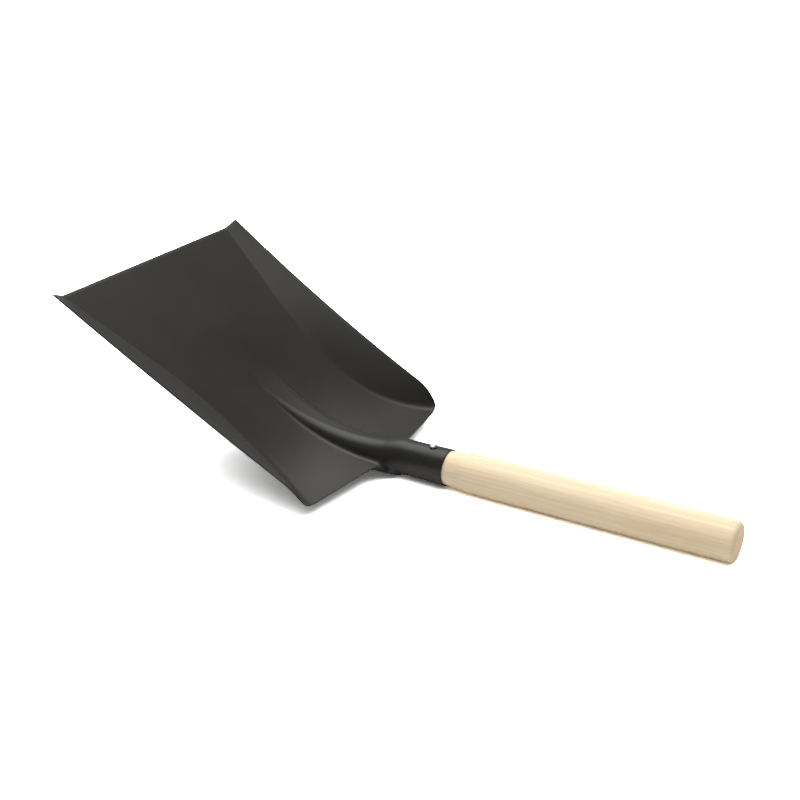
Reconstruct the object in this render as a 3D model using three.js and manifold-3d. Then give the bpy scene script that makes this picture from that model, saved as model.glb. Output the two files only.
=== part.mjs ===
// Short-handled scoop shovel: one pressed sheet-steel pan with its socket, a turned wooden handle and a screw.
// Millimetres, +Z up. X runs along the handle, from the pan's front edge to the handle's end, and Y across.
// The origin is at the middle of the bounding box, on the ground. The handle lies on the ground, and the
// flat floor of the pan rises forwards from the curved stretch beside the socket.
import * as THREE from "three";
import { mergeVertices } from "three/addons/utils/BufferGeometryUtils.js";
import Module from "manifold-3d";

const { clamp, degToRad, lerp, smoothstep } = THREE.MathUtils;
const wasm = await Module();
wasm.setup();

// --- Driving dimensions -------------------------------------------------------------------------------
const LENGTH = 490; // whole shovel, along X
const SHEET = 1; // thickness of the steel
const GAP = 0.3; // clearance between pieces that touch

const PAN_LENGTH = 208.5; // front edge to the rear corners, along X
const FLOOR_FRONT_WIDTH = 197.6; // between the creases at the front edge
const FLOOR_FRONT_HEIGHT = 131.3; // front edge above the ground
const FLOOR_SLOPE = degToRad(35.2); // of the flat front of the floor
const REAR_SLOPE = degToRad(6.5); // of the floor at the rear corners
const CURVED_LENGTH = 84.7; // stretch of floor that curves, along X, in front of the rear corners

const REAR_TAPER = 10; // how far behind the corners the rear edge ends, beside the socket
const REAR_FILLET = 10; // radius of the inner corner between the rear edge and the socket
const CORNER_LENGTH = 16; // rounding of the wall's rear end, along X
const RAIL_LEAN = 2.4; // how far the wall's front edge leans back
const CREASE_RADIUS_FRONT = 6;
const CREASE_RADIUS_REAR = 11;
const LEAST_WALL = 0.5;

// Places along X are measured from the rear corners.
const DISH_START = -150; // the middle of the floor sinks from here
const DISH_FULL = -95;
const DISH_DEPTH = 5;
const CROWN_START = -110; // and turns into a low crown towards the rear
const CROWN_FULL = 20;
const CROWN_HEIGHT = 3.5;

const RIDGE_START = -114;
const RIDGE_STARTED = -100;
const RIDGE_LOW_X = -12; // the crest follows a shallow hollow curve with its lowest point here
const RIDGE_LOW_HEIGHT = 23.6;
const RIDGE_CURVATURE = 0.0034;
const RIDGE_EASING = 1.6; // rounds off the place where the crest rises out of the floor
const RIDGE_WIDTH_START = 10; // half width of the ridge, growing towards the socket
const RIDGE_WIDTH_END = 13.3;
const SHOULDER_START = 5; // radius of the ridge's upper edges
const SHOULDER_END = 13.2;
const VALLEY_RADIUS = 5;
const LEAST_FLANK = 6; // a low ridge opens its shoulder and valley to this arc length together
const LEAST_RIDGE = 0.001;
const LEAST_CROWN = 0.5;
const BRIM_LENGTH = 3;

const SOCKET_CLOSED = 31; // where the rolled edges have met
const SOCKET_END = 63.4; // mouth of the socket
const SOCKET_NECK_RADIUS = 12.9; // middle of the sheet
const SOCKET_MOUTH_RADIUS = 13.6;
const CROWN_WRAP = 1.8; // half angle of the socket's upper part, in radians
const VALLEY_SHARE = 0.63; // of the rest of the socket; the brim makes up the last part
const SEAM_GAP = 1.2;
const EDGE_DRAW = 0.4; // how far the rolled edges draw in where they turn under

const HANDLE_RADIUS = 14.8;
const HANDLE_INSERTED = 32; // length inside the socket
const HANDLE_FLARE = 30; // length over which the handle thickens behind the socket
const HANDLE_END_ROUND = 4.5;
const HANDLE_CHAMFER = 1.5;

const SCREW_FROM_MOUTH = 13.5;
const SCREW_HEAD_RADIUS = 3.2;
const SCREW_HEAD_HEIGHT = 1.9;
const SCREW_HEAD_EDGE = 0.4; // straight edge under the dome
const SCREW_SHANK_RADIUS = 1.6;
const SCREW_LENGTH = 14;
const SCREW_POINT_LENGTH = 2.5;
const RECESS_LENGTH = 3.4;
const RECESS_WIDTH = 0.8;
const RECESS_DEPTH = 1;

// --- Derived dimensions -------------------------------------------------------------------------------
const CORNER_X = -LENGTH / 2 + PAN_LENGTH + (SHEET / 2) * Math.sin(FLOOR_SLOPE); // the rear corners
const AXIS_HEIGHT = HANDLE_RADIUS; // of the handle and the socket
const SCREW_X = SOCKET_END - SCREW_FROM_MOUTH;
const HOLE_RADIUS = SCREW_SHANK_RADIUS + GAP;

const steel = new THREE.MeshStandardMaterial({ color: 0x3c3b38, roughness: 0.55, metalness: 0.3 });
const wood = new THREE.MeshStandardMaterial({ color: 0xe6d0a8, roughness: 0.6, metalness: 0 });
const zinc = new THREE.MeshStandardMaterial({ color: 0xc9ccd0, roughness: 0.3, metalness: 1 });

// --- Booleans -----------------------------------------------------------------------------------------
function solidFrom(geometry) {
  const bare = geometry.clone();
  bare.deleteAttribute("normal");
  bare.deleteAttribute("uv");
  const merged = mergeVertices(bare, 1e-4);
  return new wasm.Manifold(
    new wasm.Mesh({
      numProp: 3,
      vertProperties: merged.attributes.position.array,
      triVerts: new Uint32Array(merged.index.array),
    }),
  );
}

function geometryFrom(solid) {
  const mesh = solid.getMesh();
  const geometry = new THREE.BufferGeometry();
  geometry.setAttribute("position", new THREE.BufferAttribute(mesh.vertProperties, 3));
  geometry.setIndex(new THREE.BufferAttribute(mesh.triVerts, 1));
  geometry.computeVertexNormals();
  return geometry;
}

const cut = (body, ...tools) =>
  geometryFrom(tools.reduce((solid, tool) => solid.subtract(solidFrom(tool)), solidFrom(body)));

// --- Lines that drive the pan; x is measured from the rear corners ---------------------------------------
const share = (x) => clamp((x + PAN_LENGTH) / PAN_LENGTH, 0, 1);

// The crease between floor and wall, seen from above: it draws in behind the front and out to the corner.
const HALF_FRONT = FLOOR_FRONT_WIDTH / 2;
const CREASE_PULL = [0, -18.2, -57.3, -2];
const crease = new THREE.CubicBezierCurve(
  ...CREASE_PULL.map((pull, i) => new THREE.Vector2(i / 3, HALF_FRONT + pull)),
);

// The free edge of the wall, a long shallow curve that drops towards the rear corner.
const rail = new THREE.QuadraticBezierCurve3(
  new THREE.Vector3(0, 111.2, 137.9),
  new THREE.Vector3(0.5, 102.4, 71.4),
  new THREE.Vector3(1, 100.5, 20),
);

function floorHeight(x) {
  const flat = FLOOR_FRONT_HEIGHT - Math.tan(FLOOR_SLOPE) * (x + PAN_LENGTH);
  const curved = Math.max(0, x + CURVED_LENGTH);
  const turn = Math.tan(FLOOR_SLOPE) - Math.tan(REAR_SLOPE);
  return flat + (turn * curved ** 2) / (2 * CURVED_LENGTH);
}

// How far the middle of the floor lies below the level of the creases; less than nothing is a crown.
function dish(x) {
  const sunk = smoothstep(x, DISH_START, DISH_FULL) * (1 - closing(x));
  return sunk * lerp(DISH_DEPTH, -CROWN_HEIGHT, smoothstep(x, CROWN_START, CROWN_FULL));
}

// How far the ridge has rolled into the closed socket, from 0 to 1.
const closing = (x) => smoothstep(x, REAR_TAPER, SOCKET_CLOSED);

const socketRadius = (x) =>
  lerp(
    SOCKET_NECK_RADIUS,
    SOCKET_MOUTH_RADIUS,
    clamp((x - SOCKET_CLOSED) / (SOCKET_END - SOCKET_CLOSED), 0, 1),
  );

function crestHeight(x) {
  const middle = floorHeight(x) - dish(x);
  const over = RIDGE_LOW_HEIGHT + RIDGE_CURVATURE * (x - RIDGE_LOW_X) ** 2 - middle;
  const height = (over + Math.hypot(over, RIDGE_EASING)) / 2;
  const ridge = middle + height * smoothstep(x, RIDGE_START, RIDGE_STARTED);
  return lerp(ridge, AXIS_HEIGHT + socketRadius(x), closing(x));
}

// --- Half of the pan's cross-section: a chain of arcs from the crest of the ridge out to the rail --------
// Each link of the chain has a length, the angle it turns through (up is positive) and its mesh columns.
function section(x) {
  const closed = closing(x);
  const crest = crestHeight(x) + dish(x);

  // The ridge: a flat crown, a shoulder that turns down and a valley that turns level again.
  const grown = clamp((x - RIDGE_START) / (REAR_TAPER - RIDGE_START), 0, 1);
  const halfWidth = lerp(RIDGE_WIDTH_START, RIDGE_WIDTH_END, grown);
  const height = Math.max(crest - floorHeight(x), LEAST_RIDGE);
  const tight = lerp(SHOULDER_START, SHOULDER_END, grown);
  const opened = Math.max(LEAST_FLANK ** 2 / (2 * height * (tight + VALLEY_RADIUS)), 1);
  const shoulder = tight * opened;
  const valley = VALLEY_RADIUS * opened;
  const flank = Math.acos(1 - height / (shoulder + valley));
  const crown = Math.max(halfWidth - shoulder * Math.sin(flank), LEAST_CROWN);

  // The socket: the same strips of sheet, rolled round until their edges nearly meet underneath.
  const radius = socketRadius(x);
  const wrap = Math.PI - SEAM_GAP / (2 * radius) - CROWN_WRAP;
  const drawnIn = 1 - EDGE_DRAW * 4 * closed * (1 - closed);
  const rolled = (length, turn, angle) => ({
    length: lerp(length, angle * radius, closed),
    turn: lerp(turn, -angle, closed),
  });

  // The brim runs out to the fillet between the rear edge and the socket.
  const past = 1 - clamp((x - REAR_TAPER) / REAR_FILLET, 0, 1);
  const brim = BRIM_LENGTH + REAR_FILLET * (1 - Math.sqrt(1 - past ** 2));
  const foot = crown + (shoulder + valley) * Math.sin(flank) + brim;

  // The wall stands on a rounded crease and reaches up to the rail.
  const t = share(x);
  const creaseY = crease.getPoint(t).y;
  const top = rail.getPoint(t);
  const across = top.y - creaseY;
  const up = top.z - floorHeight(Math.min(x, 0));
  const lean = Math.atan2(up, across);
  const creaseRadius = lerp(CREASE_RADIUS_FRONT, CREASE_RADIUS_REAR, t);
  const tangent = creaseRadius * Math.tan(lean / 2);

  const valleyLink = rolled(valley * flank, flank, VALLEY_SHARE * wrap);
  const brimLink = rolled(brim, 0, (1 - VALLEY_SHARE) * wrap);
  return {
    crest,
    links: [
      { ...rolled(crown, 0, CROWN_WRAP / 3), columns: 3 },
      { ...rolled(shoulder * flank, -flank, (CROWN_WRAP * 2) / 3), columns: 6 },
      { ...valleyLink, length: valleyLink.length * drawnIn, columns: 4 },
      { ...brimLink, length: brimLink.length * drawnIn, columns: 2 },
      { length: creaseY - tangent - foot, turn: 0, columns: 9 },
      { length: creaseRadius * lean, turn: lean, columns: 4 },
      { length: Math.max(Math.hypot(across, up) - tangent, LEAST_WALL), turn: 0, columns: 3 },
    ],
  };
}

const COLUMNS = section(0).links.reduce((sum, link) => sum + link.columns, 0);
const BAND = 15; // columns on each side that run on into the socket

// Point of the half section at a column number, on a floor that isn't dished yet.
function chainPoint(x, column) {
  const { crest, links } = section(x);
  let y = 0;
  let z = crest;
  let heading = 0;
  let left = column;
  for (const { length, turn, columns } of links) {
    const part = Math.min(left / columns, 1);
    const run = length * part;
    const bend = turn * part;
    const chord = Math.abs(bend) > 1e-6 ? (2 * run * Math.sin(bend / 2)) / bend : run;
    y += chord * Math.cos(heading + bend / 2);
    z += chord * Math.sin(heading + bend / 2);
    heading += bend;
    left -= columns * part;
    if (left <= 1e-9) break;
  }
  return { y, z };
}

function sectionPoint(x, column) {
  const { y, z } = chainPoint(x, column);
  const inside = Math.max(1 - (y / crease.getPoint(share(x)).y) ** 2, 0);
  return { y, z: z - dish(x) * inside ** 2 };
}

// --- Outline of the sheet: where each column starts and ends ---------------------------------------------
// Share of the wall's height that a column has reached at x.
function heightShare(x, column) {
  if (column <= BAND) return 0;
  const floor = floorHeight(x);
  return clamp((chainPoint(x, column).z - floor) / (chainPoint(x, COLUMNS).z - floor), 0, 1);
}

const frontOf = (column) => -PAN_LENGTH + RAIL_LEAN * heightShare(-PAN_LENGTH, column);

// The rear edge runs straight from the corner back to the fillet beside the socket.
const CORNER_Y = crease.getPoint(1).y;
const BAND_EDGE = chainPoint(REAR_TAPER, BAND).y;
const rearEdge = (y) => REAR_TAPER * clamp((CORNER_Y - y) / (CORNER_Y - BAND_EDGE), 0, 1);

// A wall column ends where it meets the rounding of the wall's rear end, which is found step by step.
function rearOf(column) {
  const start = column <= BAND ? REAR_TAPER : rearEdge(chainPoint(0, column).y);
  let x = start;
  for (let pass = 0; pass < 24; pass++) {
    const rounding = CORNER_LENGTH * (1 - Math.sqrt(1 - heightShare(x, column) ** 2));
    x = (x + start - rounding) / 2;
  }
  return x;
}

// --- The sheet: a grid of points on its middle surface, thickened both ways -------------------------------
const PAN_ROWS = 26;
const FILLET_ROWS = 5;
const SOCKET_ROWS = 14;

// Rows stand closer together towards the rear, where the shape changes most.
const rowShare = (row) => 1 - (1 - row / PAN_ROWS) ** 1.5;

// The first rows of the socket divide the fillet into equal angles.
function socketRowX(row) {
  if (row <= FILLET_ROWS)
    return REAR_TAPER + REAR_FILLET * (1 - Math.cos((row / FILLET_ROWS) * (Math.PI / 2)));
  return lerp(REAR_TAPER + REAR_FILLET, SOCKET_END, (row - FILLET_ROWS) / (SOCKET_ROWS - FILLET_ROWS));
}

const frontEnds = Array.from({ length: COLUMNS + 1 }, (_, column) => frontOf(column));
const rearEnds = Array.from({ length: COLUMNS + 1 }, (_, column) => rearOf(column));

function middlePoint(column, row) {
  const side = Math.sign(column);
  const away = Math.abs(column);
  const x =
    row <= PAN_ROWS ? lerp(frontEnds[away], rearEnds[away], rowShare(row)) : socketRowX(row - PAN_ROWS);
  const { y, z } = sectionPoint(x, away);
  return new THREE.Vector3(x, side * y, z);
}

const onSheet = (column, row) =>
  Math.abs(column) <= COLUMNS &&
  row >= 0 &&
  row <= PAN_ROWS + SOCKET_ROWS &&
  (row <= PAN_ROWS || Math.abs(column) <= BAND);

function upwardNormal(column, row) {
  const step = (dc, dr) =>
    onSheet(column + dc, row + dr) ? middlePoint(column + dc, row + dr) : middlePoint(column, row);
  const along = step(0, 1).sub(step(0, -1));
  const across = step(1, 0).sub(step(-1, 0));
  return along.cross(across).normalize();
}

function sheetGeometry() {
  const positions = [];
  const triangles = [];
  const number = new Map();
  const key = (column, row) => column * 1000 + row;
  for (let row = 0; row <= PAN_ROWS + SOCKET_ROWS; row++)
    for (let column = -COLUMNS; column <= COLUMNS; column++) {
      if (!onSheet(column, row)) continue;
      const point = middlePoint(column, row);
      const offset = upwardNormal(column, row).multiplyScalar(SHEET / 2);
      number.set(key(column, row), positions.length / 3);
      positions.push(...point.clone().add(offset).toArray());
      positions.push(...point.clone().sub(offset).toArray());
    }

  // Upper faces turn one way and lower faces the other; a free edge of a cell gets a strip between the two.
  const quad = (a, b, c, d) => triangles.push(a, b, c, a, c, d);
  const cell = (column, row) =>
    onSheet(column, row) &&
    onSheet(column + 1, row) &&
    onSheet(column, row + 1) &&
    onSheet(column + 1, row + 1);
  for (let row = 0; row < PAN_ROWS + SOCKET_ROWS; row++)
    for (let column = -COLUMNS; column < COLUMNS; column++) {
      if (!cell(column, row)) continue;
      const corners = [
        number.get(key(column, row)),
        number.get(key(column, row + 1)),
        number.get(key(column + 1, row + 1)),
        number.get(key(column + 1, row)),
      ];
      const neighbours = [
        cell(column - 1, row),
        cell(column, row + 1),
        cell(column + 1, row),
        cell(column, row - 1),
      ];
      quad(...corners);
      quad(...corners.map((n) => n + 1).reverse());
      corners.forEach((from, i) => {
        const to = corners[(i + 1) % 4];
        if (!neighbours[i]) quad(from, from + 1, to + 1, to);
      });
    }

  const geometry = new THREE.BufferGeometry();
  geometry.setAttribute("position", new THREE.Float32BufferAttribute(positions, 3));
  geometry.setIndex(triangles);
  return geometry;
}

const upright = (geometry) => geometry.rotateX(Math.PI / 2);

// A drill for the screw's hole, centred on a height, in a piece whose own X starts at `from`.
const screwDrill = (from, height, length) =>
  upright(new THREE.CylinderGeometry(HOLE_RADIUS, HOLE_RADIUS, length, 24)).translate(
    SCREW_X - from,
    0,
    height,
  );

function makePan() {
  const drill = screwDrill(0, AXIS_HEIGHT + socketRadius(SCREW_X), 10 * SHEET);
  const pan = new THREE.Mesh(cut(sheetGeometry(), drill), steel);
  pan.name = "pan";
  pan.position.x = CORNER_X;
  return pan;
}

// --- The handle: a turned stick, tapered to fit the socket, with a rounded end, drilled for the screw -----
const FLARE_STEPS = 6;
const END_STEPS = 8;
const HANDLE_SIDES = 56;

function makeHandle() {
  const start = SOCKET_END - HANDLE_INSERTED;
  const length = LENGTH / 2 - CORNER_X - start;
  const inSocket = (x) => socketRadius(x) - SHEET / 2 - GAP;
  const profile = [
    new THREE.Vector2(0, 0),
    new THREE.Vector2(inSocket(start) - HANDLE_CHAMFER, 0),
    new THREE.Vector2(inSocket(start), HANDLE_CHAMFER),
  ];
  for (let i = 0; i <= FLARE_STEPS; i++) {
    const part = i / FLARE_STEPS;
    profile.push(
      new THREE.Vector2(
        lerp(inSocket(SOCKET_END), HANDLE_RADIUS, 1 - (1 - part) ** 2),
        HANDLE_INSERTED + HANDLE_FLARE * part,
      ),
    );
  }
  for (let i = 0; i <= END_STEPS; i++) {
    const angle = (i / END_STEPS) * (Math.PI / 2);
    profile.push(
      new THREE.Vector2(
        HANDLE_RADIUS - HANDLE_END_ROUND * (1 - Math.cos(angle)),
        length - HANDLE_END_ROUND * (1 - Math.sin(angle)),
      ),
    );
  }
  profile.push(new THREE.Vector2(0, length));
  const stick = new THREE.LatheGeometry(profile, HANDLE_SIDES).rotateZ(-Math.PI / 2);
  const drill = screwDrill(start, inSocket(SCREW_X), SCREW_LENGTH);
  const handle = new THREE.Mesh(cut(stick, drill), wood);
  handle.name = "handle";
  handle.position.set(CORNER_X + start, 0, AXIS_HEIGHT);
  return handle;
}

// --- The screw: domed head with a cross recess, pointed shank ----------------------------------------------
const DOME_STEPS = 6;
const SCREW_SIDES = 32;

function makeScrew() {
  const tip = -SCREW_LENGTH / 2 + SHEET;
  const profile = [
    new THREE.Vector2(0, tip),
    new THREE.Vector2(SCREW_SHANK_RADIUS, tip + SCREW_POINT_LENGTH),
    new THREE.Vector2(SCREW_SHANK_RADIUS, 0),
    new THREE.Vector2(SCREW_HEAD_RADIUS, 0),
  ];
  for (let i = 0; i < DOME_STEPS; i++) {
    const angle = (i / DOME_STEPS) * (Math.PI / 2);
    profile.push(
      new THREE.Vector2(
        SCREW_HEAD_RADIUS * Math.cos(angle),
        SCREW_HEAD_EDGE + (SCREW_HEAD_HEIGHT - SCREW_HEAD_EDGE) * Math.sin(angle),
      ),
    );
  }
  profile.push(new THREE.Vector2(0, SCREW_HEAD_HEIGHT));
  const arm = () =>
    new THREE.BoxGeometry(RECESS_LENGTH, 2 * RECESS_DEPTH, RECESS_WIDTH).translate(0, SCREW_HEAD_HEIGHT, 0);
  const blank = new THREE.LatheGeometry(profile, SCREW_SIDES);
  const screw = new THREE.Mesh(upright(cut(blank, arm(), arm().rotateY(Math.PI / 2))), zinc);
  screw.name = "socket_screw";
  screw.position.set(
    CORNER_X + SCREW_X,
    0,
    AXIS_HEIGHT + socketRadius(SCREW_X) + SHEET / 2 + GAP,
  );
  return screw;
}

const shovel = new THREE.Group();
shovel.add(makePan(), makeHandle(), makeScrew());

export default shovel;
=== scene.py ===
"""Looks of the grain scoop shovel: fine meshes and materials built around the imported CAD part.

Sizes are millimetres until a mesh is made; Blender's objects are in metres, in the frame of the CAD.
"""

import math

import bpy
import numpy as np
from mathutils import Matrix, Vector


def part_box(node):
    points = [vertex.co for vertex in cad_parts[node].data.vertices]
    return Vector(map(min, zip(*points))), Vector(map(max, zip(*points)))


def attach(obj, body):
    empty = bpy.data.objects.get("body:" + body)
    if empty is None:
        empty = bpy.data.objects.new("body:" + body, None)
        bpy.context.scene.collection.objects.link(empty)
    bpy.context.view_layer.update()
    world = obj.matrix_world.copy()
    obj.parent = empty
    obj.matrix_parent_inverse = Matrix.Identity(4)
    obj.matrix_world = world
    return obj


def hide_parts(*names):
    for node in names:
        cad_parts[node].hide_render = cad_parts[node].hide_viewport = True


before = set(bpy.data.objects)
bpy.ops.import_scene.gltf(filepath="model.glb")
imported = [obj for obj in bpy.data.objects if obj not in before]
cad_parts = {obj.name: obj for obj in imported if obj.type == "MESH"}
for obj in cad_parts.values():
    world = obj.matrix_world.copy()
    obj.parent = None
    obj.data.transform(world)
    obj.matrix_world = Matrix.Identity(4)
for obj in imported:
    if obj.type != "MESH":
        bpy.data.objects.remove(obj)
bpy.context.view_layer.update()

MM = 0.001
_, PAN_HIGH = (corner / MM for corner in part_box("pan"))
HANDLE_LOW, HANDLE_HIGH = (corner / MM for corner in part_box("handle"))
SCREW_LOW, SCREW_HIGH = (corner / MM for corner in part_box("socket_screw"))

# --- Driving dimensions, the same as the CAD part's -------------------------------------------------
SHEET = 1.0  # thickness of the steel
CLEARANCE = 0.3  # between pieces that touch

PAN_LENGTH = 208.5  # front edge to the rear corners, along X
FLOOR_FRONT_WIDTH = 197.6  # between the creases at the front edge
FLOOR_FRONT_HEIGHT = 131.3  # front edge above the ground
FLOOR_SLOPE = math.radians(35.2)  # of the flat front of the floor
REAR_SLOPE = math.radians(6.5)  # of the floor at the rear corners
CURVED_LENGTH = 84.7  # stretch of floor that curves, in front of the rear corners

REAR_TAPER = 10.0  # how far behind the corners the rear edge ends, beside the socket
REAR_FILLET = 10.0  # radius of the inner corner between the rear edge and the socket
CORNER_LENGTH = 16.0  # rounding of the wall's rear end, along X
RAIL_LEAN = 2.4  # how far the wall's front edge leans back
CREASE_RADIUS_FRONT = 6.0
CREASE_RADIUS_REAR = 11.0
LEAST_WALL = 0.5

# Places along X are measured from the rear corners.
DISH_START = -150.0  # the middle of the floor sinks from here
DISH_FULL = -95.0
DISH_DEPTH = 5.0
CROWN_START = -110.0  # and turns into a low crown towards the rear
CROWN_FULL = 20.0
CROWN_HEIGHT = 3.5

RIDGE_START = -114.0
RIDGE_STARTED = -100.0
RIDGE_LOW_X = -12.0  # the crest follows a shallow hollow curve with its lowest point here
RIDGE_LOW_HEIGHT = 23.6
RIDGE_CURVATURE = 0.0034
RIDGE_EASING = 1.6  # rounds off the place where the crest rises out of the floor
RIDGE_WIDTH_START = 10.0  # half width of the ridge, growing towards the socket
RIDGE_WIDTH_END = 13.3
SHOULDER_START = 5.0  # radius of the ridge's upper edges
SHOULDER_END = 13.2
VALLEY_RADIUS = 5.0
LEAST_FLANK = 6.0  # a low ridge opens its shoulder and valley to this arc length together
LEAST_RIDGE = 0.001
LEAST_CROWN = 0.5
BRIM_LENGTH = 3.0

SOCKET_CLOSED = 31.0  # where the rolled edges have met
SOCKET_END = 63.4  # mouth of the socket
SOCKET_NECK_RADIUS = 12.9  # middle of the sheet
SOCKET_MOUTH_RADIUS = 13.6
CROWN_WRAP = 1.8  # half angle of the socket's upper part, in radians
VALLEY_SHARE = 0.63  # of the rest of the socket; the brim makes up the last part
SEAM_GAP = 1.2
EDGE_DRAW = 0.4  # how far the rolled edges draw in where they turn under

CREASE_PULL = (0, -18.2, -57.3, -2)  # y of the crease's control points, from its y in front
RAIL_FRONT = (111.2, 137.9)  # (y, z) of the rail's control points
RAIL_MIDDLE = (102.4, 71.4)
RAIL_REAR = (100.5, 20.0)

HANDLE_FLARE = 30.0  # length over which the handle thickens behind the socket
HANDLE_END_ROUND = 4.5
HANDLE_CHAMFER = 1.5

HEAD_HEIGHT = 1.9
HEAD_EDGE = 0.4  # straight edge under the dome
SHANK_RADIUS = 1.6
POINT_LENGTH = 2.5

# Derived dimensions.
CORNER_X = PAN_HIGH.x - SOCKET_END  # the rear corners
AXIS_HEIGHT = (HANDLE_HIGH.z + HANDLE_LOW.z) / 2  # of the handle and the socket
HANDLE_RADIUS = (HANDLE_HIGH.z - HANDLE_LOW.z) / 2
HANDLE_LENGTH = HANDLE_HIGH.x - HANDLE_LOW.x
HANDLE_INSERTED = PAN_HIGH.x - HANDLE_LOW.x
HEAD_RADIUS = (SCREW_HIGH.x - SCREW_LOW.x) / 2
HEAD_FOOT = SCREW_HIGH.z - HEAD_HEIGHT
SCREW_X = (SCREW_LOW.x + SCREW_HIGH.x) / 2
HOLE_RADIUS = SHANK_RADIUS + CLEARANCE

# --- Fineness of the meshes --------------------------------------------------------------------------
LINK_COLUMNS = (8, 18, 12, 8, 24, 12, 10)  # of each link of the pan's section, from crest to rail
COLUMNS = sum(LINK_COLUMNS)
BAND = sum(LINK_COLUMNS[:4])  # the ridge and its brim, which run on as the socket
PAN_ROWS = 110
ROW_CROWDING = 1.25  # above 1, rows lie closer together towards the rear
FILLET_ROWS = 14
SOCKET_ROWS = 52  # with the fillet's rows
REAR_PASSES = 24  # that find where a column of the wall ends
RIM_STEPS = 4  # points between the upper and the lower face on the rounded cut edge
RIM_REACH = 0.3  # how far the rounded edge stands out

TAPER_RINGS = 8
FLARE_RINGS = 12
GRIP_RINGS = 20
ROUND_STEPS = 14
FOOT_RING = 8.0  # radius of a ring on the handle's flat foot
END_RINGS = (6.0, 3.0)  # radii of the rings on its flat end
HANDLE_SIDES = 96
HEAD_SIDES = 64
HOLE_SIDES = 32
DOME_STEPS = 14


# --- Lines that drive the pan; x is measured from the rear corners -----------------------------------
def clamp(value, low, high):
    return min(max(value, low), high)


def lerp(a, b, part):
    return a + (b - a) * part


def smoothstep(x, low, high):
    part = clamp((x - low) / (high - low), 0, 1)
    return part * part * (3 - 2 * part)


def share(x):
    """How far x lies along the pan, from 0 at the front edge to 1 at the rear corners."""
    return clamp((x + PAN_LENGTH) / PAN_LENGTH, 0, 1)


def crease_y(x):
    """The crease between floor and wall, seen from above, as a cubic curve."""
    t = share(x)
    weights = ((1 - t) ** 3, 3 * t * (1 - t) ** 2, 3 * t**2 * (1 - t), t**3)
    return FLOOR_FRONT_WIDTH / 2 + sum(w * pull for w, pull in zip(weights, CREASE_PULL))


def rail(x):
    """The wall's free edge, as (y, z) on a quadratic curve."""
    t = share(x)
    weights = ((1 - t) ** 2, 2 * t * (1 - t), t**2)
    points = (RAIL_FRONT, RAIL_MIDDLE, RAIL_REAR)
    return tuple(sum(w * p[i] for w, p in zip(weights, points)) for i in (0, 1))


def floor_height(x):
    """The floor at its creases: straight in front, then curved towards the rear slope."""
    flat = FLOOR_FRONT_HEIGHT - math.tan(FLOOR_SLOPE) * (x + PAN_LENGTH)
    curved = max(0, x + CURVED_LENGTH)
    turn = math.tan(FLOOR_SLOPE) - math.tan(REAR_SLOPE)
    return flat + turn * curved**2 / (2 * CURVED_LENGTH)


def closing(x):
    """How far the ridge has rolled into the closed socket, from 0 to 1."""
    return smoothstep(x, REAR_TAPER, SOCKET_CLOSED)


def dish(x):
    """How far the middle of the floor lies below the creases' level; less than nothing is a crown."""
    sunk = smoothstep(x, DISH_START, DISH_FULL) * (1 - closing(x))
    return sunk * lerp(DISH_DEPTH, -CROWN_HEIGHT, smoothstep(x, CROWN_START, CROWN_FULL))


def socket_radius(x):
    """Radius of the middle of the socket's sheet, which widens from the neck to the mouth."""
    part = clamp((x - SOCKET_CLOSED) / (SOCKET_END - SOCKET_CLOSED), 0, 1)
    return lerp(SOCKET_NECK_RADIUS, SOCKET_MOUTH_RADIUS, part)


def crest_height(x):
    """The line along the top of the ridge, from the floor to the top of the socket."""
    middle = floor_height(x) - dish(x)
    over = RIDGE_LOW_HEIGHT + RIDGE_CURVATURE * (x - RIDGE_LOW_X) ** 2 - middle
    height = (over + math.hypot(over, RIDGE_EASING)) / 2
    ridge = middle + height * smoothstep(x, RIDGE_START, RIDGE_STARTED)
    return lerp(ridge, AXIS_HEIGHT + socket_radius(x), closing(x))


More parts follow.
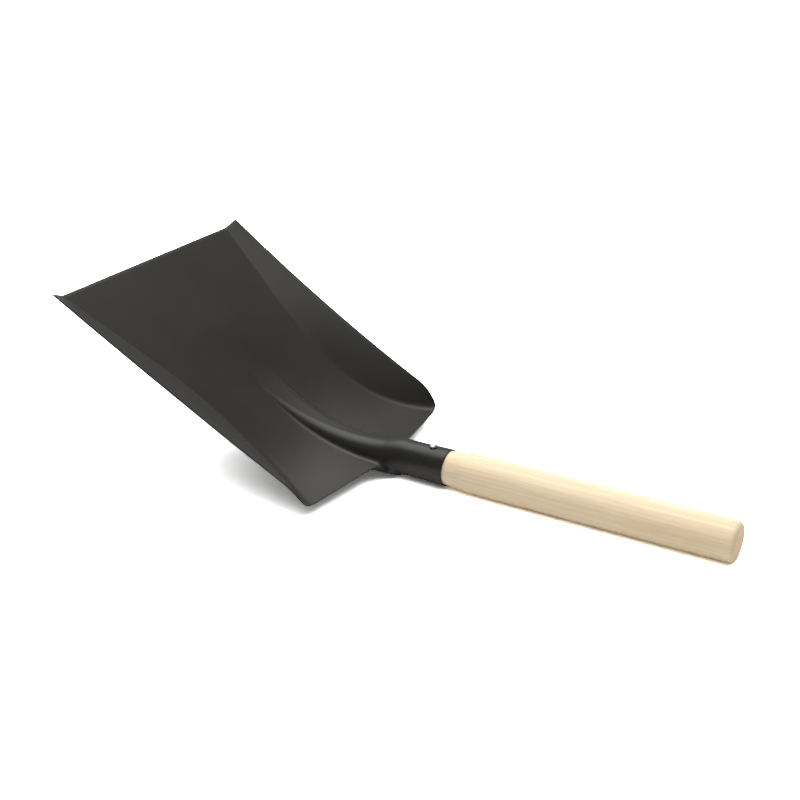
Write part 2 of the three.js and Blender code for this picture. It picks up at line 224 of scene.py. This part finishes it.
# --- The pan's cross-section -------------------------------------------------------------------------
def section(x):
    """Crest height, and the chain of arcs beside it as (length, turn)."""
    closed = closing(x)
    crest = crest_height(x) + dish(x)

    # The ridge: a flat crown, a shoulder that turns down and a valley that turns level again.
    grown = clamp((x - RIDGE_START) / (REAR_TAPER - RIDGE_START), 0, 1)
    half_width = lerp(RIDGE_WIDTH_START, RIDGE_WIDTH_END, grown)
    height = max(crest - floor_height(x), LEAST_RIDGE)
    tight = lerp(SHOULDER_START, SHOULDER_END, grown)
    opened = max(LEAST_FLANK**2 / (2 * height * (tight + VALLEY_RADIUS)), 1)
    shoulder, valley = tight * opened, VALLEY_RADIUS * opened
    flank = math.acos(1 - height / (shoulder + valley))
    crown = max(half_width - shoulder * math.sin(flank), LEAST_CROWN)

    # The socket: the same strips of sheet, rolled round until their edges nearly meet underneath.
    radius = socket_radius(x)
    wrap = math.pi - SEAM_GAP / (2 * radius) - CROWN_WRAP
    drawn_in = 1 - EDGE_DRAW * 4 * closed * (1 - closed)

    def rolled(length, turn, angle, drawn=1):
        return lerp(length, angle * radius, closed) * drawn, lerp(turn, -angle, closed)

    # The brim runs out to the fillet between the rear edge and the socket.
    past = 1 - clamp((x - REAR_TAPER) / REAR_FILLET, 0, 1)
    brim = BRIM_LENGTH + REAR_FILLET * (1 - math.sqrt(1 - past**2))
    foot = crown + (shoulder + valley) * math.sin(flank) + brim

    # The wall stands on a rounded crease and reaches up to the rail.
    top_y, top_z = rail(x)
    across = top_y - crease_y(x)
    up = top_z - floor_height(min(x, 0))
    lean = math.atan2(up, across)
    crease_radius = lerp(CREASE_RADIUS_FRONT, CREASE_RADIUS_REAR, share(x))
    tangent = crease_radius * math.tan(lean / 2)

    links = (
        rolled(crown, 0, CROWN_WRAP / 3),
        rolled(shoulder * flank, -flank, CROWN_WRAP * 2 / 3),
        rolled(valley * flank, flank, VALLEY_SHARE * wrap, drawn_in),
        rolled(brim, 0, (1 - VALLEY_SHARE) * wrap, drawn_in),
        (crease_y(x) - tangent - foot, 0),
        (crease_radius * lean, lean),
        (max(math.hypot(across, up) - tangent, LEAST_WALL), 0),
    )
    return crest, links


def chain_point(x, column):
    """(y, z) of the half section at a column, on a floor that isn't dished yet."""
    straight, nothing = 1e-6, 1e-9
    crest, links = section(x)
    y, z, heading, left = 0, crest, 0, column
    for (length, turn), columns in zip(links, LINK_COLUMNS):
        part = min(left / columns, 1)
        run, bend = length * part, turn * part
        chord = 2 * run * math.sin(bend / 2) / bend if abs(bend) > straight else run
        y += chord * math.cos(heading + bend / 2)
        z += chord * math.sin(heading + bend / 2)
        heading += bend
        left -= columns * part
        if left <= nothing:
            break
    return y, z


def section_point(x, column):
    """(y, z) of the half section at a column, on the dished or crowned floor."""
    y, z = chain_point(x, column)
    inside = max(1 - (y / crease_y(x)) ** 2, 0)
    return y, z - dish(x) * inside**2


def height_share(x, column):
    """Share of the wall's height that a column has reached at x."""
    if column <= BAND:
        return 0
    ground = floor_height(x)
    reached = chain_point(x, column)[1] - ground
    return clamp(reached / (chain_point(x, COLUMNS)[1] - ground), 0, 1)


BAND_EDGE = chain_point(REAR_TAPER, BAND)[0]


# --- The pan's sheet ---------------------------------------------------------------------------------
def rear_of(column):
    """Where a column ends: on the rear edge, or for a wall on the rounding of its rear end."""
    if column <= BAND:
        return REAR_TAPER
    corner_y = crease_y(0)
    y = chain_point(0, column)[0]
    start = REAR_TAPER * clamp((corner_y - y) / (corner_y - BAND_EDGE), 0, 1)
    x = start
    for _ in range(REAR_PASSES):
        rounding = CORNER_LENGTH * (1 - math.sqrt(1 - height_share(x, column) ** 2))
        x = (x + start - rounding) / 2
    return x


def pan_row_x(row, front, rear):
    """Where a column's row lies between its front and rear ends."""
    return lerp(front, rear, 1 - (1 - row / PAN_ROWS) ** ROW_CROWDING)


def socket_row_x(row):
    """The first rows of the socket divide the fillet into equal angles."""
    fillet_end = REAR_TAPER + REAR_FILLET
    if row <= FILLET_ROWS:
        return REAR_TAPER + REAR_FILLET * (1 - math.cos(row / FILLET_ROWS * math.pi / 2))
    return lerp(fillet_end, SOCKET_END, (row - FILLET_ROWS) / (SOCKET_ROWS - FILLET_ROWS))


def sheet_middle():
    """Middle surface of the sheet: points[column, row] for both sides, NaN where there is no sheet."""
    points = np.full((2 * COLUMNS + 1, PAN_ROWS + SOCKET_ROWS + 1, 3), np.nan)
    for column in range(COLUMNS + 1):
        front = -PAN_LENGTH + RAIL_LEAN * height_share(-PAN_LENGTH, column)
        rear = rear_of(column)
        last = PAN_ROWS + (SOCKET_ROWS if column <= BAND else 0)
        for row in range(last + 1):
            x = pan_row_x(row, front, rear) if row <= PAN_ROWS else socket_row_x(row - PAN_ROWS)
            y, z = section_point(x, column)
            points[COLUMNS + column, row] = (CORNER_X + x, y, z)
            points[COLUMNS - column, row] = (CORNER_X + x, -y, z)
    return points


def sheet_outline():
    """(column, row) of the free edge all round, as a loop."""
    right, left = 2 * COLUMNS, 0
    band_right, band_left = COLUMNS + BAND, COLUMNS - BAND
    mouth = PAN_ROWS + SOCKET_ROWS
    loop = [(column, 0) for column in range(left, right)]
    loop += [(right, row) for row in range(0, PAN_ROWS)]
    loop += [(column, PAN_ROWS) for column in range(right, band_right, -1)]
    loop += [(band_right, row) for row in range(PAN_ROWS, mouth)]
    loop += [(column, mouth) for column in range(band_right, band_left, -1)]
    loop += [(band_left, row) for row in range(mouth, PAN_ROWS, -1)]
    loop += [(column, PAN_ROWS) for column in range(band_left, left, -1)]
    loop += [(left, row) for row in range(PAN_ROWS, 0, -1)]
    return loop


def unit(vectors):
    return vectors / np.linalg.norm(vectors, axis=-1, keepdims=True)


def pan_sheet():
    """Vertices and faces of the thickened sheet with a rounded rim."""
    middle = sheet_middle()
    present = ~np.isnan(middle[..., 0])
    number = np.full(present.shape, -1)
    number[present] = np.arange(present.sum())
    points = middle[present]

    whole = present[:-1, :-1] & present[1:, :-1] & present[1:, 1:] & present[:-1, 1:]
    corners = (number[:-1, :-1], number[:-1, 1:], number[1:, 1:], number[1:, :-1])
    cells = np.stack([c[whole] for c in corners], axis=1)

    # Normals point up out of the pan.
    normals = np.zeros_like(points)
    diagonals = points[cells[:, 2]] - points[cells[:, 0]], points[cells[:, 3]] - points[cells[:, 1]]
    facing = unit(np.cross(*diagonals))
    for corner in cells.T:
        np.add.at(normals, corner, facing)
    normals = unit(normals)

    edge = np.array([number[place] for place in sheet_outline()])
    tangent = np.roll(points[edge], -1, axis=0) - np.roll(points[edge], 1, axis=0)
    outward = unit(np.cross(normals[edge], tangent))

    # The rim: rings of points from the upper face round to the lower one.
    count = len(points)
    vertices = [points + normals * SHEET / 2, points - normals * SHEET / 2]
    levels = [edge]
    for step in range(1, RIM_STEPS + 1):
        angle = math.pi * step / (RIM_STEPS + 1)
        across = normals[edge] * math.cos(angle) * SHEET / 2
        vertices.append(points[edge] + across + outward * math.sin(angle) * RIM_REACH)
        levels.append(2 * count + (step - 1) * len(edge) + np.arange(len(edge)))
    levels.append(edge + count)

    faces = [cells, cells[:, ::-1] + count]
    for upper, lower in zip(levels, levels[1:]):
        faces.append(np.stack([upper, np.roll(upper, -1), np.roll(lower, -1), lower], axis=1))
    return np.concatenate(vertices), np.concatenate(faces)


# --- Making objects ----------------------------------------------------------------------------------
def mesh_object(name, vertices, faces):
    """A smooth-shaded object from vertices in millimetres."""
    points = [tuple(point) for point in np.asarray(vertices) * MM]
    loops = [tuple(map(int, face)) for face in faces]
    mesh = bpy.data.meshes.new(name)
    mesh.from_pydata(points, [], loops)
    mesh.polygons.foreach_set("use_smooth", [True] * len(mesh.polygons))
    mesh.validate()
    made = bpy.data.objects.new(name, mesh)
    bpy.context.scene.collection.objects.link(made)
    return made


def lathe(name, profile, sides):
    """A body turned about the X axis from (x, radius) points, whose first and last radius are 0."""
    angles = np.arange(sides) * 2 * math.pi / sides
    vertices = [(profile[0][0], 0, 0)]
    for x, radius in profile[1:-1]:
        vertices += [(x, radius * math.cos(a), radius * math.sin(a)) for a in angles]
    vertices.append((profile[-1][0], 0, 0))
    faces = []
    rings = len(profile) - 2
    for i in range(sides):
        j = (i + 1) % sides
        faces.append((0, 1 + j, 1 + i))
        for ring in range(rings - 1):
            a, b = 1 + ring * sides, 1 + (ring + 1) * sides
            faces.append((a + i, a + j, b + j, b + i))
        last = 1 + (rings - 1) * sides
        faces.append((last + i, last + j, len(vertices) - 1))
    return mesh_object(name, vertices, faces)


def arc(centre, radius, start, end, steps):
    """Points (x, r) on an arc, angles in degrees from the +X axis."""
    angles = [math.radians(lerp(start, end, i / steps)) for i in range(steps + 1)]
    return [(centre[0] + radius * math.cos(a), centre[1] + radius * math.sin(a)) for a in angles]


def subtract(target, tool):
    """Cuts tool out of target and removes the tool."""
    modifier = target.modifiers.new("cut", "BOOLEAN")
    modifier.operation = "DIFFERENCE"
    modifier.solver = "EXACT"
    modifier.object = tool
    bpy.context.view_layer.objects.active = target
    bpy.ops.object.modifier_apply(modifier=modifier.name)
    bpy.data.objects.remove(tool)


def stand_up(made, foot):
    """Turns a lathe body's axis from X to up, with its x = 0 at foot."""
    place = Matrix.Translation(Vector(foot) * MM) @ Matrix.Rotation(-math.pi / 2, 4, "Y")
    made.data.transform(place)
    return made


def drill(height, length):
    """A cylinder to cut the screw's hole, centred on a height."""
    profile = [(0, 0), (0, HOLE_RADIUS), (length, HOLE_RADIUS), (length, 0)]
    return stand_up(lathe("drill", profile, HOLE_SIDES), (SCREW_X, 0, height - length / 2))


# --- Pan ---------------------------------------------------------------------------------------------
SOCKET_TOP = AXIS_HEIGHT + socket_radius(SCREW_X - CORNER_X)  # at the screw
PAN_DRILL_LENGTH = 10.0

pan = mesh_object("pan_sheet", *pan_sheet())
subtract(pan, drill(SOCKET_TOP, PAN_DRILL_LENGTH))

# --- Handle: a turned stick, tapered to fit the socket, with a rounded end ---------------------------
HANDLE_DRILL_LENGTH = 14.0  # half of it in the wood


def in_socket(x):
    """Radius of wood that fits the socket at x."""
    return socket_radius(x) - SHEET / 2 - CLEARANCE


def handle_profile():
    """(x, radius) points of the handle, from its foot in the socket to its free end."""
    foot_radius = in_socket(SOCKET_END - HANDLE_INSERTED)
    mouth_radius = in_socket(SOCKET_END)
    grip_start = HANDLE_INSERTED + HANDLE_FLARE
    round_start = HANDLE_LENGTH - HANDLE_END_ROUND
    foot = [(0, 0), (0, FOOT_RING), (0, foot_radius - HANDLE_CHAMFER)]
    taper = [
        (lerp(HANDLE_CHAMFER, HANDLE_INSERTED, part), lerp(foot_radius, mouth_radius, part))
        for part in (i / TAPER_RINGS for i in range(TAPER_RINGS))
    ]
    flare = [
        (HANDLE_INSERTED + HANDLE_FLARE * part, lerp(mouth_radius, HANDLE_RADIUS, 1 - (1 - part) ** 2))
        for part in (i / FLARE_RINGS for i in range(FLARE_RINGS))
    ]
    grip = [(lerp(grip_start, round_start, i / GRIP_RINGS), HANDLE_RADIUS) for i in range(GRIP_RINGS)]
    centre = (round_start, HANDLE_RADIUS - HANDLE_END_ROUND)
    end_round = arc(centre, HANDLE_END_ROUND, 90, 0, ROUND_STEPS)
    end = [(HANDLE_LENGTH, radius) for radius in (*END_RINGS, 0)]
    return [*foot, *taper, *flare, *grip, *end_round, *end]


handle = lathe("handle_stick", handle_profile(), HANDLE_SIDES)
handle.data.transform(Matrix.Translation(Vector((HANDLE_LOW.x, 0, AXIS_HEIGHT)) * MM))
subtract(handle, drill(SOCKET_TOP - SHEET / 2 - CLEARANCE, HANDLE_DRILL_LENGTH))

# --- Screw: domed head with a cross recess -----------------------------------------------------------
RECESS_ANGLES = (20, 110)  # of its two arms, in degrees from the X axis
RECESS_REACH = 2.0  # half the length of an arm, at the top
RECESS_HALF_WIDTH = 0.85
RECESS_DEPTH = 1.4
RECESS_END_TAPER = 0.35  # share of the length that is left at the bottom
RECESS_SIDE_TAPER = 0.7  # share of the width that is left at the bottom
RECESS_PAST_HEAD = 0.5


def screw_profile():
    """(x, radius) points of the screw, from its tip to the top of its head, with the head's foot at 0."""
    tip = SCREW_LOW.z - HEAD_FOOT
    dome = [
        (HEAD_EDGE + (HEAD_HEIGHT - HEAD_EDGE) * math.sin(a), HEAD_RADIUS * math.cos(a))
        for a in (math.pi / 2 * i / DOME_STEPS for i in range(DOME_STEPS))
    ]
    shank = [(tip, 0), (tip + POINT_LENGTH, SHANK_RADIUS), (0, SHANK_RADIUS)]
    return [*shank, (0, HEAD_RADIUS), *dome, (HEAD_HEIGHT, 0)]


def recess(turn):
    """One arm of the cross recess: a wedge that narrows downwards."""
    top, bottom = HEAD_HEIGHT + RECESS_PAST_HEAD, HEAD_HEIGHT - RECESS_DEPTH
    length, width = RECESS_REACH, RECESS_HALF_WIDTH
    ring = [(length, width), (-length, width), (-length, -width), (length, -width)]
    vertices = [(x, y, top) for x, y in ring]
    vertices += [(RECESS_END_TAPER * x, RECESS_SIDE_TAPER * y, bottom) for x, y in ring]
    faces = [(0, 1, 2, 3), (7, 6, 5, 4)]
    faces += [(i, i + 4, (i + 1) % 4 + 4, (i + 1) % 4) for i in range(4)]
    tool = mesh_object("recess", vertices, faces)
    place = Matrix.Translation(Vector((SCREW_X, 0, HEAD_FOOT)) * MM)
    tool.data.transform(place @ Matrix.Rotation(turn, 4, "Z"))
    return tool


screw = stand_up(lathe("screw_head", screw_profile(), HEAD_SIDES), (SCREW_X, 0, HEAD_FOOT))
for angle in RECESS_ANGLES:
    subtract(screw, recess(math.radians(angle)))

# --- Materials ---------------------------------------------------------------------------------------
NOISE_SPAN = (0.3, 0.7)  # nearly all values of a noise texture lie in here


class Nodes:
    """A new material's node tree, with short calls for the nodes that the materials share."""

    def __init__(self, name):
        self.material = bpy.data.materials.new(name)
        self.material.use_nodes = True
        self.tree = self.material.node_tree
        self.shader = self.tree.nodes["Principled BSDF"]
        self.place = self.tree.nodes.new("ShaderNodeTexCoord").outputs["Object"]

    def fill(self, socket, value):
        """Links a socket to another one, or sets it to a constant."""
        if isinstance(value, bpy.types.NodeSocket):
            self.tree.links.new(value, socket)
        else:
            socket.default_value = value

    def put(self, node, **inputs):
        """Fills a node's inputs by their names, with an underscore for each space."""
        for key, value in inputs.items():
            self.fill(node.inputs[key.replace("_", " ")], value)

    def add(self, kind, settings=None, **inputs):
        node = self.tree.nodes.new(kind)
        for key, value in (settings or {}).items():
            setattr(node, key, value)
        self.put(node, **inputs)
        return node

    def stretched(self, scale, shift=(0, 0, 0)):
        """The object's coordinates, scaled; a scale below 1 draws a texture out along that axis."""
        node = self.add("ShaderNodeMapping", Vector=self.place, Scale=scale, Location=shift)
        return node.outputs["Vector"]

    def noise(self, scale, detail, roughness=0.5, vector=None):
        node = self.add(
            "ShaderNodeTexNoise",
            Vector=vector or self.place,
            Scale=scale,
            Detail=detail,
            Roughness=roughness,
        )
        return node.outputs["Fac"]

    def ranged(self, value, low, high, to_low, to_high):
        """Maps the span from low to high to another one, and holds it inside."""
        node = self.add(
            "ShaderNodeMapRange",
            Value=value,
            From_Min=low,
            From_Max=high,
            To_Min=to_low,
            To_Max=to_high,
        )
        return node.outputs["Result"]

    def spread(self, noise, to_low, to_high):
        """Maps the usual span of a noise to another one."""
        return self.ranged(noise, *NOISE_SPAN, to_low, to_high)

    def blend(self, factor, a, b):
        """Mixes two colours, each a socket or (red, green, blue)."""
        node = self.add("ShaderNodeMix", {"data_type": "RGBA"})
        self.fill(node.inputs["Factor"], factor)
        colours = [s for s in node.inputs if s.type == "RGBA"]
        for socket, value in zip(colours, (a, b)):
            linked = isinstance(value, bpy.types.NodeSocket)
            self.fill(socket, value if linked else (*value, 1))
        return next(s for s in node.outputs if s.type == "RGBA")

    def total(self, a, b):
        """Adds two sockets or numbers."""
        node = self.add("ShaderNodeMath", {"operation": "ADD"})
        for socket, value in zip(node.inputs, (a, b)):
            self.fill(socket, value)
        return node.outputs["Value"]

    def bump(self, height, strength, distance, under=None):
        """A normal bent by a height; distance is in metres, and under is a coarser bump's normal."""
        node = self.add("ShaderNodeBump", Height=height, Strength=strength, Distance=distance)
        if under:
            self.put(node, Normal=under)
        return node.outputs["Normal"]

    def finish(self, **inputs):
        self.put(self.shader, **inputs)
        return self.material


def paint_material():
    """Satin black paint on pressed steel: soft orange peel, slightly uneven gloss and warm thin spots."""
    n = Nodes("black_paint")
    patches = n.noise(14, detail=4, roughness=0.6)
    cloud = n.noise(26, detail=2)
    peel = n.noise(520, detail=2)
    colour = n.blend(n.spread(patches, 0, 1), (0.0168, 0.0160, 0.0132), (0.0220, 0.0204, 0.0158))
    roughness = n.total(n.spread(cloud, 0.30, 0.34), n.spread(peel, -0.015, 0.015))
    normal = n.bump(peel, 0.02, 0.0003)
    normal = n.bump(n.noise(1900, detail=1), 0.015, 0.0001, normal)
    return n.finish(
        Base_Color=colour,
        Roughness=roughness,
        Normal=normal,
        IOR=1.45,
        Specular_IOR_Level=0.3,
        Sheen_Weight=0.08,
        Sheen_Roughness=0.4,
    )


def wood_material():
    """Pale plain wood: growth rings about a far-off heart, long fibres, short darker pores."""
    n = Nodes("pale_wood")
    heart = (0, 0.021, 0.034)
    rings = n.add(
        "ShaderNodeTexWave",
        {"wave_type": "RINGS", "rings_direction": "X", "wave_profile": "SAW"},
        Vector=n.stretched((0.035, 1, 1), heart),
        Scale=105.0,
        Distortion=2.2,
        Detail=3.0,
        Detail_Scale=3.0,
    ).outputs["Fac"]
    fibres = n.noise(800, detail=4, roughness=0.65, vector=n.stretched((0.02, 1, 1)))
    pores = n.noise(2300, detail=2, vector=n.stretched((0.05, 1, 1)))
    drift = n.noise(22, detail=2, vector=n.stretched((0.3, 1, 1)))
    streaks = n.noise(260, detail=3, roughness=0.6, vector=n.stretched((0.03, 1, 1), (0.3, 0, 0)))

    # The free end shows end grain, which is darker.
    normal = n.add("ShaderNodeSeparateXYZ", Vector=n.add("ShaderNodeNewGeometry").outputs["Normal"])
    end_grain = n.ranged(normal.outputs["X"], 0.5, 0.95, 0, 0.45)

    base = n.blend(n.spread(drift, 0, 1), (0.84, 0.72, 0.53), (0.81, 0.67, 0.46))
    streaked = n.blend(n.ranged(streaks, 0.48, 0.72, 0, 0.6), base, (0.72, 0.53, 0.33))
    ringed = n.blend(n.ranged(rings, 0, 1, 0, 0.3), streaked, (0.69, 0.51, 0.31))
    grained = n.blend(n.ranged(fibres, 0.45, 0.75, 0, 0.35), ringed, (0.60, 0.42, 0.24))
    ended = n.blend(end_grain, grained, (0.62, 0.43, 0.26))
    colour = n.blend(n.ranged(pores, 0.62, 0.75, 0, 0.3), ended, (0.45, 0.30, 0.16))
    relief = n.bump(fibres, 0.12, 0.0004)
    relief = n.bump(pores, 0.08, 0.0002, relief)
    return n.finish(
        Base_Color=colour,
        Roughness=n.spread(fibres, 0.5, 0.66),
        Normal=relief,
        Specular_IOR_Level=0.35,
    )


def zinc_material():
    """Bright zinc plating with a fine spangle and a slightly rough surface."""
    n = Nodes("zinc_plating")
    spangle = n.noise(900, detail=3)
    colour = n.blend(n.spread(spangle, 0, 1), (0.40, 0.40, 0.41), (0.52, 0.52, 0.53))
    return n.finish(
        Base_Color=colour,
        Metallic=1.0,
        Roughness=n.spread(spangle, 0.2, 0.34),
        Normal=n.bump(n.noise(2500, detail=2), 0.05, 0.0002),
    )


for piece, node, slot, material in (
    (pan, "pan", "black_steel", paint_material()),
    (handle, "handle", "pale_wood", wood_material()),
    (screw, "socket_screw", "zinc_screw", zinc_material()),
):
    piece.data.materials.clear()
    piece.data.materials.append(material)
    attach(piece, "root")
    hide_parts(node)

# --- Floor -------------------------------------------------------------------------------------------
FLOOR_SIZE = 60.0
FLOOR_ALBEDO = 0.85
FLOOR_SEEN = 5.0  # the seen floor is exposed past white


def floor_material():
    """Matt white, and past white where the camera sees it, as in a cut-out photograph."""
    n = Nodes("floor_white")
    seen = n.add("ShaderNodeLightPath").outputs["Is Camera Ray"]
    colour = n.blend(seen, (FLOOR_ALBEDO,) * 3, (FLOOR_SEEN,) * 3)
    matt = n.add("ShaderNodeBsdfDiffuse", Color=colour)
    n.put(n.tree.nodes["Material Output"], Surface=matt.outputs["BSDF"])
    return n.material


bpy.ops.mesh.primitive_plane_add(size=FLOOR_SIZE, location=(0, 0, 0))
floor = bpy.context.object
floor.name = "floor"
floor.data.materials.append(floor_material())

# --- Camera ------------------------------------------------------------------------------------------
AZIMUTH = math.radians(29.9)
ELEVATION = math.radians(24.4)
AIM = Vector((-0.0302, 0.0269, 0.0461))
DISTANCE = 0.9886
LENS = 58.1
SENSOR = 36.0

camera_data = bpy.data.cameras.new("camera")
camera_data.lens = LENS
camera_data.sensor_width = SENSOR
camera = bpy.data.objects.new("camera", camera_data)
bpy.context.scene.collection.objects.link(camera)
towards_camera = Vector(
    (
        math.sin(AZIMUTH) * math.cos(ELEVATION),
        -math.cos(AZIMUTH) * math.cos(ELEVATION),
        math.sin(ELEVATION),
    )
)
camera.location = AIM + towards_camera * DISTANCE
camera.rotation_euler = towards_camera.to_track_quat("Z", "Y").to_euler()
bpy.context.scene.camera = camera

# --- Light -------------------------------------------------------------------------------------------
# A diffuser overhead, which the paint doesn't mirror.
SUN_STRENGTH = 1.7
SUN_ANGLE = math.radians(80)

# A big soft light above the front of the pan, in a room that is brighter behind the shovel.
DOME_AXIS = Vector((-0.3, 0.25, 0.9)).normalized()
DOME_LIGHT = 3.9
DOME_COSINES = (0.8, 0.97)  # at the edge of the light, and where it is at full strength
ROOM_AXIS = Vector((-math.sin(AZIMUTH), math.cos(AZIMUTH), 0))
ROOM_FRONT = 0.12
ROOM_BACK = 0.32
ROOM_COSINES = (-0.2, 0.6)
SEEN_WORLD = 1.2  # the seen background, past white

sun_data = bpy.data.lights.new("overhead", "SUN")
sun_data.energy = SUN_STRENGTH
sun_data.angle = SUN_ANGLE
sun = bpy.data.objects.new("overhead", sun_data)
sun.visible_glossy = False
bpy.context.scene.collection.objects.link(sun)

world = bpy.data.worlds.new("studio")
world.use_nodes = True
bpy.context.scene.world = world
tree = world.node_tree
direction = tree.nodes.new("ShaderNodeTexCoord").outputs["Generated"]


def light_towards(axis, cosines, low, high):
    """Light that rises from low to high as the direction nears the axis, between the two cosines."""
    nearness = tree.nodes.new("ShaderNodeVectorMath")
    nearness.operation = "DOT_PRODUCT"
    nearness.inputs[1].default_value = axis
    tree.links.new(direction, nearness.inputs[0])
    rise = tree.nodes.new("ShaderNodeMapRange")
    rise.interpolation_type = "SMOOTHSTEP"
    for name, value in zip(("From Min", "From Max", "To Min", "To Max"), (*cosines, low, high)):
        rise.inputs[name].default_value = value
    tree.links.new(nearness.outputs["Value"], rise.inputs["Value"])
    return rise.outputs["Result"]


total = tree.nodes.new("ShaderNodeMath")
tree.links.new(light_towards(DOME_AXIS, DOME_COSINES, 0, DOME_LIGHT), total.inputs[0])
tree.links.new(light_towards(ROOM_AXIS, ROOM_COSINES, ROOM_FRONT, ROOM_BACK), total.inputs[1])
path = tree.nodes.new("ShaderNodeLightPath")
strength = tree.nodes.new("ShaderNodeMix")
strength.inputs["B"].default_value = SEEN_WORLD
tree.links.new(path.outputs["Is Camera Ray"], strength.inputs["Factor"])
tree.links.new(total.outputs["Value"], strength.inputs["A"])
background = tree.nodes["Background"]
background.inputs["Color"].default_value = (1, 1, 1, 1)
tree.links.new(strength.outputs["Result"], background.inputs["Strength"])

bpy.context.scene.view_settings.view_transform = "Standard"
bpy.context.scene.view_settings.look = "None"
